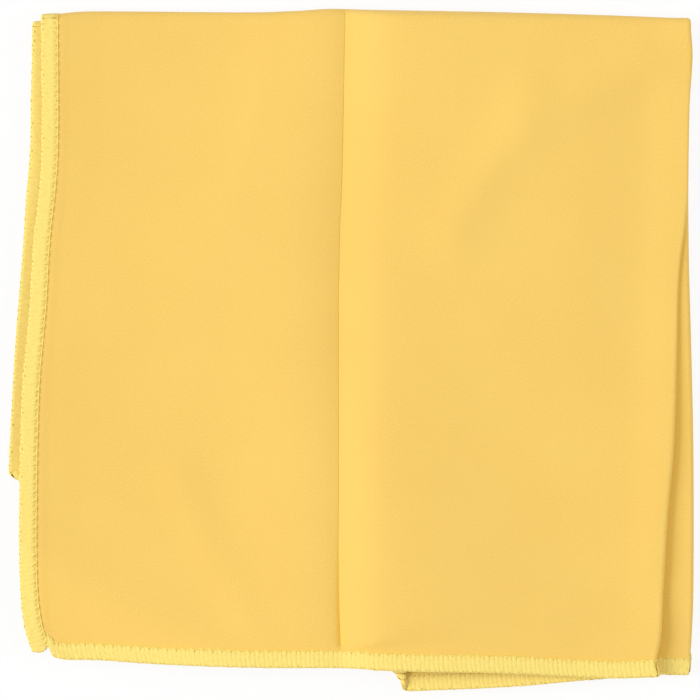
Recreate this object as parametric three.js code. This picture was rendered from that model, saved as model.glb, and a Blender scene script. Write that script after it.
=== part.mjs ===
// A square microfibre cleaning cloth, folded in quarters and lying flat.
//
// The side fold comes first and lies on the right (+X). The top fold comes second, lies at the back
// (+Y), and is the hinge about which the upper half opens. Each half holds two panels, the front panel
// and the back panel, joined round the side fold. Every raw edge is bound by a three-thread overlock
// seam: a needle thread and two looper threads. Millimetres, +Z up, the lowest panel rests on z = 0.

import * as THREE from "three";

// Driving sizes
const foldedSide = 175; // from a hemmed edge to the fold, half the side of the cloth
const fabricThickness = 0.8; // knitted fabric with its pile
const boundThickness = 0.5; // the same fabric squeezed inside the overlock seam
const threadThickness = 0.35; // looper thread as it lies on the fabric
const threadClearance = 0.15; // between a thread and the fabric under it
const looperReach = 3.9; // looper threads, from the raw edge to their inner border
const needleGap = 0.25; // from the loopers' border to the needle thread
const needleWidth = 0.45; // needle thread across
const seamRamp = 3; // fabric that rises from its bed to the height of the seam
const seamJoint = 0.4; // between two seams that meet at a corner
const looperSplit = 0.3; // between the two looper threads along the raw edge
const layerClearance = 0.4; // between two panels of one half, measured at their seams
const halfClearance = 0.8; // between the two halves, measured at their seams
const hingeSplit = 0.3; // between the two halves along the top fold
const hingeSpare = 0.05; // from the top fold's highest point to the hinge axis
const foldSquareness = 3; // the top fold's section, 2 for an ellipse and more for a squarer turn
const puffHeight = 1.2; // the seen panel lies this much higher than flat, but for its crease
const creaseReachLeft = 5; // how far the pressed crease draws the panel down on its left
const creaseReachRight = 8; // and on its right
const puffEase = 18; // the panel rises from its seams over this length
const earMargin = 9; // the seen panel stays fully raised this far round the turned-in corner
const earEase = 26; // and comes down over this length
const earDropStart = 14; // beyond the turned-in corner the seen panel sinks from here
const earDropEase = 22; // and has sunk over this length
const earHook = 1.8; // the corner's fold swings in by this much before it meets the end edge
const earHookReach = 9; // at this distance from the end edge

// Heights that follow from them
const seamThickness = boundThickness + 2 * (threadClearance + threadThickness);
const bedThickness = Math.max(seamThickness, fabricThickness);
const layerPitch = bedThickness + layerClearance;
const hingeHeight = layerPitch + bedThickness + halfClearance / 2;
const seamLift = (seamThickness - fabricThickness) / 2;
const edgeWrap = threadClearance + threadThickness;
const seamWidth = looperReach + needleGap + needleWidth;
const foldRadius = layerPitch / 2;
const foldBulge = foldRadius + fabricThickness / 2;

// The corner of the upper back panel is turned in, over the panel it belongs to
const earTopOffset = seamThickness - fabricThickness / 2;
const earRadius = earTopOffset + layerClearance / 2;
const earTurn = Math.PI * earRadius;
const earRise = 2 * earRadius + fabricThickness + layerClearance - layerPitch;

// Outlines, as shares of the folded side from the middle of the folded cloth. Each row is a place along
// the run, from 0 to 1, and the outline's offset there.
const upperFrontSideShares = [
  [0, -0.4906], [0.04, -0.5026], [0.1, -0.5083], [0.25, -0.5088], [0.42, -0.5046],
  [0.55, -0.4938], [0.65, -0.4884], [0.76, -0.4776], [0.85, -0.4753], [1, -0.4761],
];
const upperBackSideShares = [
  [0, -0.547], [0.35, -0.527], [0.455, -0.5216], [0.53, -0.517], [0.6, -0.5115],
  [0.675, -0.5051], [0.75, -0.5], [0.82, -0.4938], [0.9, -0.4923], [1, -0.49],
];
const upperFoldShares = [
  [0, 0.4768], [0.02, 0.4735], [0.06, 0.4799], [0.14, 0.4841], [0.25, 0.4907], [0.35, 0.4995],
  [0.5, 0.5046], [0.64, 0.5087], [0.81, 0.519], [0.89, 0.5241], [0.96, 0.5287], [1, 0.5262],
];
const creaseShares = [
  [0, -0.0139], [0.1, -0.017], [0.4, -0.0177], [0.62, -0.0139], [1, -0.0077],
];
const upperFrontEndShares = [
  [0, -0.4676], [0.012, -0.4676], [0.026, -0.4599], [0.036, -0.4753], [0.1, -0.4784], [0.2, -0.4846],
  [0.35, -0.4892], [0.5, -0.49], [0.57, -0.4938], [0.75, -0.4977], [0.93, -0.506], [1, -0.5045],
];
const upperBackEndShares = [
  [0, -0.503], [0.09, -0.5085], [0.16, -0.5149], [0.245, -0.5214], [0.38, -0.527], [1, -0.56],
];
const topShares = [
  [0, 0.5159], [0.06, 0.5205], [0.1, 0.5228], [0.35, 0.5213], [0.42, 0.5236], [0.47, 0.5267],
  [0.53, 0.5251], [0.7, 0.5221], [0.8, 0.5197], [0.9, 0.5167], [1, 0.5128],
];
const lowerFrontSideShares = [[0, -0.452], [0.12, -0.466], [0.5, -0.4738], [1, -0.4761]];
const lowerBackSideShares = [[0, -0.452], [0.12, -0.464], [0.5, -0.4753], [0.85, -0.4846], [1, -0.49]];
const lowerFoldShares = [
  [0, 0.5254], [0.04, 0.5277], [0.12, 0.5308], [0.35, 0.5308], [0.5, 0.5277],
  [0.65, 0.5238], [0.8, 0.5231], [1, 0.5262],
];
const lowerFrontEndShares = [[0, -0.462], [0.1, -0.474], [1, -0.4938]];
const lowerBackEndShares = [[0, -0.5024], [0.2, -0.4985], [0.9, -0.474], [1, -0.462]];
const creaseShare = 0.485;

// Where the turned-in corner folds, from the side edge to the end edge
const earSideShares = [-0.5278, -0.182];
const earEndShares = [0.105, -0.5275];

// Grid lines of the sheet, as shares of the folded side
const frontFieldShares = [0.12, 0.21, 0.31, 0.41, 0.46];
const frontFarShares = [0.505, 0.56, 0.7, 0.86];
const backFieldShares = [0.18, 0.34, 0.4, 0.46, 0.7];
const alongShares = [0.09, 0.15, 0.22, 0.3, 0.39, 0.5, 0.64, 0.82];
const foldSteps = 6;
const topSteps = 4;
const earSteps = 5;

const fabricMaterial = { color: 0xf8cf6a, roughness: 0.95, metalness: 0 };
const threadMaterial = { color: 0xfce27c, roughness: 0.8, metalness: 0 };

// Smooth curve through a table of shares, straight beyond its ends
function follow(shares, place) {
  const last = shares.length - 1;
  const at = Math.min(Math.max(place, 0), 1);
  let i = 0;
  while (i < last - 1 && at > shares[i + 1][0]) i += 1;
  const slope = (from, to) => (shares[to][1] - shares[from][1]) / (shares[to][0] - shares[from][0]);
  const [start, end] = [shares[i], shares[i + 1]];
  const span = end[0] - start[0];
  const t = (at - start[0]) / span;
  const startSlope = slope(Math.max(i - 1, 0), i + 1) * span;
  const endSlope = slope(i, Math.min(i + 2, last)) * span;
  const rest = 1 - t;
  const blended = start[1] * (1 + 2 * t) * rest * rest + end[1] * t * t * (1 + 2 * rest)
    + startSlope * t * rest * rest - endSlope * t * t * rest;
  return blended * foldedSide;
}

function ease(value) {
  const t = Math.min(Math.max(value, 0), 1);
  return t * t * (3 - 2 * t);
}

const mix = THREE.MathUtils.lerp;

// The line of the turned-in corner runs from the side edge to the end edge, and hooks in at its end
const earFrom = new THREE.Vector2(...earSideShares).multiplyScalar(foldedSide);
const earTo = new THREE.Vector2(...earEndShares).multiplyScalar(foldedSide);
const earAlong = earTo.clone().sub(earFrom).normalize();
const earAcross = new THREE.Vector2(earAlong.y, -earAlong.x);

function pastEar(x, y) {
  const straight = (x - earFrom.x) * earAcross.x + (y - earFrom.y) * earAcross.y;
  const toEnd = Math.max((earTo.x - x) * earAlong.x + (earTo.y - y) * earAlong.y, 0) / earHookReach;
  return straight + earHook * toEnd * Math.exp(1 - toEnd);
}

// The corner of the uncut panel, and how far the turned-in part reaches back over the panel
const earCorner = new THREE.Vector2(upperBackSideShares[0][1], upperBackEndShares.at(-1)[1])
  .multiplyScalar(foldedSide);
const earDepth = pastEar(earCorner.x, earCorner.y) - earTurn;
const earTip = earCorner.clone().addScaledVector(earAcross, -earDepth - pastEar(earCorner.x, earCorner.y));

// Distance outside the straight line from one point to another, with the tip's far side as inside
function outsideLine(from, to, x, y) {
  const run = to.clone().sub(from).normalize();
  return (x - from.x) * run.y - (y - from.y) * run.x;
}

// How much the seen panel is lifted by the turned-in corner under it, and let down beyond it
function earLift(x, y) {
  const past = pastEar(x, y);
  const outside = Math.max(past, outsideLine(earTo, earTip, x, y), outsideLine(earTip, earFrom, x, y));
  const raised = 1 - ease((outside - earMargin) / earEase);
  const dropped = ease((past - earDropStart) / earDropEase);
  return earRise * raised * (1 - dropped) - layerPitch * dropped;
}

// The panel's two cushions, left and right of the pressed crease
function puffLift(across, along) {
  const away = (across - creaseShare) * foldedSide;
  const pressed = Math.exp(-Math.abs(away) / (away < 0 ? creaseReachLeft : creaseReachRight));
  const fromSide = ease((across * foldedSide - seamWidth) / puffEase);
  const fromEnd = ease((along * foldedSide - seamWidth) / puffEase);
  return puffHeight * (1 - pressed) * fromSide * fromEnd;
}

// The two halves: their outlines, the heights of their panels, and which way their outer face looks
const halves = {
  upper: {
    frontSide: upperFrontSideShares,
    backSide: upperBackSideShares,
    fold: upperFoldShares,
    frontEnd: upperFrontEndShares,
    backEnd: upperBackEndShares,
    frontBed: hingeHeight + halfClearance / 2 + layerPitch,
    backBed: hingeHeight + halfClearance / 2,
    splitHeight: hingeHeight + hingeSplit / 2,
    frontLift: (across, along, x, y) => earLift(x, y) + puffLift(across, along),
    outward: 1,
  },
  lower: {
    frontSide: lowerFrontSideShares,
    backSide: lowerBackSideShares,
    fold: lowerFoldShares,
    frontEnd: lowerFrontEndShares,
    backEnd: lowerBackEndShares,
    frontBed: 0,
    backBed: layerPitch,
    splitHeight: hingeHeight - hingeSplit / 2,
    frontLift: () => 0,
    outward: -1,
  },
};

// A place on the sheet has two parameters. across runs from 0 at the front panel's hemmed side to 1 at
// the side fold, round the fold to 2, and over the back panel to 3 at its hemmed side. along runs from
// 0 at the hemmed end to 1 where the top fold starts, and to 2 at the hinge.
function seamShare(across, along) {
  const fromSide = Math.min(across, 3 - across) * foldedSide;
  const fromEnd = along * foldedSide;
  const beside = 1 - ease((fromSide - seamWidth - threadClearance) / seamRamp);
  const below = 1 - ease((fromEnd - seamWidth - threadClearance) / seamRamp);
  return 1 - (1 - beside) * (1 - below);
}

function middleHeight(half, across) {
  const turn = Math.PI * Math.min(Math.max(across - 1, 0), 1);
  const middle = (half.frontBed + half.backBed + fabricThickness) / 2;
  return middle + (half.frontBed - half.backBed) / 2 * Math.cos(turn);
}

// The quarter turn of the top fold, from flat at 0 to the hinge at 1, within a unit square
function foldTurn(turn) {
  const angle = Math.PI / 2 * Math.max(turn, 0);
  const [out, up] = [Math.sin(angle), Math.cos(angle)];
  const size = (out ** foldSquareness + Math.abs(up) ** foldSquareness) ** (-1 / foldSquareness);
  return { out: out * size, up: up * size };
}

function planPlace(half, across, along) {
  const run = Math.min(along, 1);
  const foldX = follow(half.fold, run) - foldBulge;
  const frontX = follow(half.frontSide, run) + edgeWrap;
  const creaseX = follow(creaseShares, run);
  const backX = follow(half.backSide, run) + edgeWrap;
  let x = foldX;
  if (across < creaseShare) x = mix(frontX, creaseX, across / creaseShare);
  else if (across < 1) x = mix(creaseX, foldX, (across - creaseShare) / (1 - creaseShare));
  else if (across < 2) x = foldX + foldRadius * Math.sin(Math.PI * (across - 1));
  else x = mix(foldX, backX, across - 2);
  const frontEndY = follow(half.frontEnd, across);
  const backEndY = follow(half.backEnd, across - 2);
  const turned = (1 - Math.cos(Math.PI * Math.min(Math.max(across - 1, 0), 1))) / 2;
  const endY = mix(frontEndY, backEndY, turned) + edgeWrap;
  const topShare = x / foldedSide + 1 / 2;
  const outerRadius = 2 * layerPitch - foldRadius + (halfClearance - layerClearance) / 2;
  const radius = outerRadius - layerPitch * turned;
  const centreY = follow(topShares, topShare) - outerRadius - fabricThickness / 2;
  const { out, up } = foldTurn(along - 1);
  const y = mix(endY, centreY, run) + radius * out;
  return { x, y, up, turned };
}

function middlePlace(half, across, along) {
  const { x, y, up, turned } = planPlace(half, across, along);
  const lift = half.frontLift(across, along, x, y) * (1 - turned);
  const height = middleHeight(half, across) + seamLift * seamShare(across, along) + lift;
  return new THREE.Vector3(x, y, mix(half.splitHeight, height, up));
}

function outwardAt(half, across, along) {
  const step = 1e-4;
  const acrossRun = middlePlace(half, across + step, along).sub(middlePlace(half, across - step, along));
  const alongRun = middlePlace(half, across, along + step).sub(middlePlace(half, across, along - step));
  return acrossRun.cross(alongRun).normalize().multiplyScalar(half.outward);
}

// Rolls what lies past the ear's line up and over, on the panel that it belongs to
function turnEar(half, point) {
  const past = pastEar(point.x, point.y);
  if (past <= 0) return point;
  const bed = half.backBed + fabricThickness / 2;
  const offset = point.z - bed;
  const angle = Math.min(past, earTurn) / earRadius;
  const left = Math.max(past - earTurn, 0);
  const reach = (earRadius - offset) * Math.sin(angle) - left;
  point.x += earAcross.x * (reach - past);
  point.y += earAcross.y * (reach - past);
  point.z = bed + earRadius - (earRadius - offset) * Math.cos(angle);
  return point;
}

function place(half, across, along, offset) {
  const point = middlePlace(half, across, along);
  point.addScaledVector(outwardAt(half, across, along), offset);
  return half === halves.upper && across > 2 ? turnEar(half, point) : point;
}

// Cells between grid lines, each a polygon of (across, along) corners
function gridCells(acrossLines, alongLines) {
  const cells = [];
  for (let i = 0; i + 1 < acrossLines.length; i += 1) {
    for (let j = 0; j + 1 < alongLines.length; j += 1) {
      const [left, right, near, far] = [acrossLines[i], acrossLines[i + 1], alongLines[j], alongLines[j + 1]];
      cells.push([[left, near], [right, near], [right, far], [left, far]]);
    }
  }
  return cells;
}

// Cuts every cell along the line where the measure reaches a level
function cutCells(cells, measure, level) {
  return cells.flatMap((cell) => {
    const marks = cell.map(([across, along]) => measure(across, along) - level);
    if (Math.min(...marks) >= 0 || Math.max(...marks) <= 0) return [cell];
    const below = [];
    const above = [];
    cell.forEach((corner, i) => {
      const next = (i + 1) % cell.length;
      if (marks[i] <= 0) below.push(corner);
      if (marks[i] >= 0) above.push(corner);
      if (marks[i] * marks[next] < 0) {
        const t = marks[i] / (marks[i] - marks[next]);
        const cut = corner.map((value, axis) => mix(value, cell[next][axis], t));
        below.push(cut);
        above.push(cut);
      }
    });
    return [below, above];
  });
}

// The upper back panel's cells are cut across the turn of the ear, so that it bends smoothly
function cutAtEar(half, cells) {
  if (half !== halves.upper) return cells;
  const measure = (across, along) => {
    if (across <= 2) return -earTurn;
    const { x, y } = planPlace(half, across, along);
    return pastEar(x, y);
  };
  let cut = cells;
  for (let i = 0; i <= earSteps; i += 1) cut = cutCells(cut, measure, earTurn * i / earSteps);
  return cut;
}

// A closed sheet over the cells, from one offset of the outer face to another
function sheetGeometry(half, cells, lowOffset, highOffset) {
  const index = new Map();
  const corners = [];
  const keep = (corner) => {
    const key = corner.map((value) => value.toFixed(6)).join(" ");
    if (!index.has(key)) index.set(key, corners.push(corner) - 1);
    return index.get(key);
  };
  const faces = [];
  for (const cell of cutAtEar(half, cells)) {
    const ring = cell.map(keep).filter((corner, i, all) => corner !== all[(i + 1) % all.length]);
    for (let i = 1; i + 1 < ring.length; i += 1) faces.push([ring[0], ring[i], ring[i + 1]]);
  }
  const positions = [];
  for (const [across, along] of corners) {
    positions.push(...place(half, across, along, highOffset(across, along)).toArray());
    positions.push(...place(half, across, along, lowOffset(across, along)).toArray());
  }
  const triangles = [];
  const add = (...points) => triangles.push(...(half.outward > 0 ? points : points.reverse()));
  const rim = new Set(faces.flatMap(([a, b, c]) => [`${a} ${b}`, `${b} ${c}`, `${c} ${a}`]));
  for (const [a, b, c] of faces) {
    add(2 * a, 2 * b, 2 * c);
    add(2 * a + 1, 2 * c + 1, 2 * b + 1);
  }
  for (const edge of rim) {
    const [from, to] = edge.split(" ").map(Number);
    if (rim.has(`${to} ${from}`)) continue;
    add(2 * from, 2 * from + 1, 2 * to + 1);
    add(2 * from, 2 * to + 1, 2 * to);
  }
  const geometry = new THREE.BufferGeometry();
  geometry.setAttribute("position", new THREE.Float32BufferAttribute(positions, 3));
  geometry.setIndex(triangles);
  geometry.computeVertexNormals();
  return geometry;
}

const steps = (from, to, count) => Array.from({ length: count + 1 }, (_, i) => mix(from, to, i / count));

// Grid lines that the fabric and its seams share, so that a seam follows the fabric facet by facet
const seamEdge = (seamWidth + threadClearance) / foldedSide;
const rampEdge = seamEdge + seamRamp / foldedSide;
const seamStart = seamEdge + seamJoint / foldedSide;
const alongField = [seamEdge, rampEdge, ...alongShares, ...steps(1, 2, topSteps)];
const frontField = [rampEdge, ...frontFieldShares, creaseShare, ...frontFarShares];
const backField = [...backFieldShares, 1 - rampEdge].map((share) => 2 + share);
const acrossField = [...frontField, ...steps(1, 2, foldSteps), ...backField];

function fabricGeometry(half) {
  const acrossLines = [0, seamEdge, seamStart, ...acrossField, 3 - seamStart, 3 - seamEdge, 3];
  const alongLines = [0, looperReach / foldedSide, ...alongField];
  const thickness = (across, along) => mix(fabricThickness, boundThickness, seamShare(across, along)) / 2;
  const low = (across, along) => -thickness(across, along);
  return sheetGeometry(half, gridCells(acrossLines, alongLines), low, thickness);
}

// The three seams of a half. Each gives the sheet's parameters at a distance in from the raw edge, and
// the stations along the edge.
const seams = {
  front_side: {
    inward: (reach) => reach / foldedSide,
    cells: (lines, stations) => gridCells(lines, stations),
    reachAt: (across) => across * foldedSide,
    stations: [0, ...alongField],
  },
  back_side: {
    inward: (reach) => 3 - reach / foldedSide,
    cells: (lines, stations) => gridCells(lines.toReversed(), stations),
    reachAt: (across) => (3 - across) * foldedSide,
    stations: [0, ...alongField],
  },
  end: {
    inward: (reach) => reach / foldedSide,
    cells: (lines, stations) => gridCells(stations, lines),
    reachAt: (across, along) => along * foldedSide,
    stations: [seamStart, ...acrossField, 3 - seamStart],
  },
};

const looperSide = boundThickness / 2 + threadClearance;
const looperOuter = looperSide + threadThickness;
const wrapStep = threadClearance / 2;

// A looper thread lies on one side of the seam and turns down over half of the raw edge
function looperGeometry(half, seam, side) {
  const lines = [-edgeWrap, -threadClearance, -wrapStep, looperReach].map(seam.inward);
  const inner = (across, along) => {
    const overEdge = seam.reachAt(across, along) < -(threadClearance + wrapStep) / 2;
    return overEdge ? looperSplit / 2 : looperSide;
  };
  const cells = seam.cells(lines, seam.stations);
  if (side === "face") return sheetGeometry(half, cells, inner, () => looperOuter);
  return sheetGeometry(half, cells, () => -looperOuter, (across, along) => -inner(across, along));
}

// The needle thread lies on the face as a thin ridge along the inner border of the loopers
function needleGeometry(half, seam) {
  const start = looperReach + needleGap;
  const lines = [start, start + needleWidth].map(seam.inward);
  return sheetGeometry(half, seam.cells(lines, seam.stations), () => looperSide, () => looperOuter);
}

function namedMesh(name, geometry, material) {
  const mesh = new THREE.Mesh(geometry, new THREE.MeshStandardMaterial(material));
  mesh.name = name;
  return mesh;
}

const cloth = new THREE.Group();
for (const [halfName, half] of Object.entries(halves)) {
  cloth.add(namedMesh(`cloth_${halfName}_half`, fabricGeometry(half), fabricMaterial));
  for (const [seamName, seam] of Object.entries(seams)) {
    const run = `${halfName}_${seamName}_seam`;
    cloth.add(namedMesh(`${run}_needle_thread`, needleGeometry(half, seam), threadMaterial));
    cloth.add(namedMesh(`${run}_face_looper`, looperGeometry(half, seam, "face"), threadMaterial));
    cloth.add(namedMesh(`${run}_back_looper`, looperGeometry(half, seam, "back"), threadMaterial));
  }
}

// The origin is the middle of the resting face
const reach = new THREE.Box3().setFromObject(cloth, true);
const middle = reach.getCenter(new THREE.Vector3());
cloth.position.set(-middle.x, -middle.y, -reach.min.z);

// Hinge axis of the top fold, along X, in the part's own frame
export const hingeAxis = [0, reach.max.y + hingeSpare - middle.y, hingeHeight - reach.min.z];

export default cloth;
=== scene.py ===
"""A square microfibre cleaning cloth, folded in quarters and lying flat, with overlocked edges.

The cloth is one closed sheet, worked out on two parameters. Across runs from the front panel's hemmed
side round the side fold to the back panel's hemmed side, and along runs from the upper half's hemmed end
round the top fold to the lower half's. Every seam thread is a tube carried along a path on that sheet.
"""

import logging
import math
from dataclasses import dataclass, field
from enum import Enum

import bmesh
import bpy
import numpy as np
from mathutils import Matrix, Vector


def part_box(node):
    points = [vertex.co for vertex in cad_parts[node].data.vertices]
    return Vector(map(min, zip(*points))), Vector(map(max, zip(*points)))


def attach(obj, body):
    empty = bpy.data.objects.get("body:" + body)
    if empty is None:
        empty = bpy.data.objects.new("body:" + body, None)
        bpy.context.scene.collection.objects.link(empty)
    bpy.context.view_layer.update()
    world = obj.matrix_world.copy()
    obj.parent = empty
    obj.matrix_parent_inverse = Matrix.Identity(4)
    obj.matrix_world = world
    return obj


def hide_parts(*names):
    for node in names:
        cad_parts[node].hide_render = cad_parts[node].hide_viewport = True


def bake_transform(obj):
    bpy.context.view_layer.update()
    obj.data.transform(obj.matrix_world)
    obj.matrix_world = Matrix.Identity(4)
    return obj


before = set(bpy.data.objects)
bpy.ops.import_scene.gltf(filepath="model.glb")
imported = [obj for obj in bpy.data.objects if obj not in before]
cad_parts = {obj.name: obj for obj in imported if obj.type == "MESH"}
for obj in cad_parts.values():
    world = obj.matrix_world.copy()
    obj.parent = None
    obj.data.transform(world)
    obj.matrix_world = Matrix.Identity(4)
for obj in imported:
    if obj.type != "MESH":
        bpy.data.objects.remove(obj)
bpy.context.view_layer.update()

log = logging.getLogger("cleaning_cloth")

MM = 0.001
PHOTO_MIDDLE = 350.0
METRES_PER_PIXEL = 0.27 * MM
EDGE_DISTANCE = "edge_distance"
CLEAR_OF_FOLD = 0.001


class Seam(Enum):
    """The four overlocked edges of the cloth."""

    FRONT_SIDE = "front_side"
    BACK_SIDE = "back_side"
    UPPER_END = "upper_end"
    LOWER_END = "lower_end"


class Thread(Enum):
    """The three threads of an overlock seam."""

    NEEDLE = "needle_thread"
    FACE_LOOPER = "face_looper"
    BACK_LOOPER = "back_looper"


def ease(value: np.ndarray) -> np.ndarray:
    """Smoothstep: 3 t squared less 2 t cubed, with t held between 0 and 1.

    Args:
        value: any array.

    Returns:
        An array from 0 to 1 of the same shape.
    """
    t = np.clip(value, 0.0, 1.0)
    return t * t * (3.0 - 2.0 * t)


def mix(start: np.ndarray, end: np.ndarray, t: np.ndarray) -> np.ndarray:
    """Straight line from start at t = 0 to end at t = 1."""
    return start + (end - start) * t


def photo_place(column: float, row: float) -> np.ndarray:
    """Place on the cloth of a pixel of the 700 x 700 photograph, in metres from the photograph's middle."""
    return np.array((column - PHOTO_MIDDLE, PHOTO_MIDDLE - row)) * METRES_PER_PIXEL


@dataclass(frozen=True)
class Outline:
    """A smooth curve through a table of places, 0 to 1 along a run, and offsets in shares of a side."""

    places: tuple[float, ...]
    shares: tuple[float, ...]

    def at(self, place: np.ndarray, side: float) -> np.ndarray:
        """Cubic Hermite curve whose slope at each table row is that of the chord round it.

        Args:
            place: places along the run; those past an end are held at it.
            side: length that the shares are of, in metres.

        Returns:
            The offset at each place, in metres.
        """
        knots = np.array(self.places)
        values = np.array(self.shares)
        last = len(knots) - 1
        before = np.maximum(np.arange(last + 1) - 1, 0)
        after = np.minimum(np.arange(last + 1) + 1, last)
        slopes = (values[after] - values[before]) / (knots[after] - knots[before])
        held = np.clip(place, 0.0, 1.0)
        i = np.clip(np.searchsorted(knots, held, side="right") - 1, 0, last - 1)
        span = knots[i + 1] - knots[i]
        t = (held - knots[i]) / span
        rest = 1.0 - t
        curve = values[i] * (1.0 + 2.0 * t) * rest * rest + values[i + 1] * t * t * (1.0 + 2.0 * rest)
        curve += span * t * rest * (slopes[i] * rest - slopes[i + 1] * t)
        return curve * side


@dataclass(frozen=True)
class HalfShape:
    """Outlines of one half, upper or lower, and the heights of its panels' undersides.

    The side outlines are those of the hemmed edges at the left, the fold's is that of the side fold, and
    the end outlines are those of the hemmed edges at the front.
    """

    front_side: Outline
    back_side: Outline
    fold: Outline
    front_end: Outline
    back_end: Outline
    front_bed: float
    back_bed: float


@dataclass(frozen=True)
class Drape:
    """A soft rise of the seen panel along a line between two places, with a bell-shaped section."""

    start: tuple[float, float]
    end: tuple[float, float]
    width: float
    height: float

    def lift(self, x: np.ndarray, y: np.ndarray) -> np.ndarray:
        """Height times e to the minus square of the distance from the line over the width.

        Args:
            x: places to the right, in metres.
            y: places towards the top fold, in metres.

        Returns:
            The rise at each place, in metres.
        """
        start = photo_place(*self.start)
        run = photo_place(*self.end) - start
        t = np.clip(((x - start[0]) * run[0] + (y - start[1]) * run[1]) / (run @ run), 0.0, 1.0)
        away = np.hypot(x - start[0] - t * run[0], y - start[1] - t * run[1])
        return self.height * np.exp(-((away / self.width) ** 2))


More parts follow.
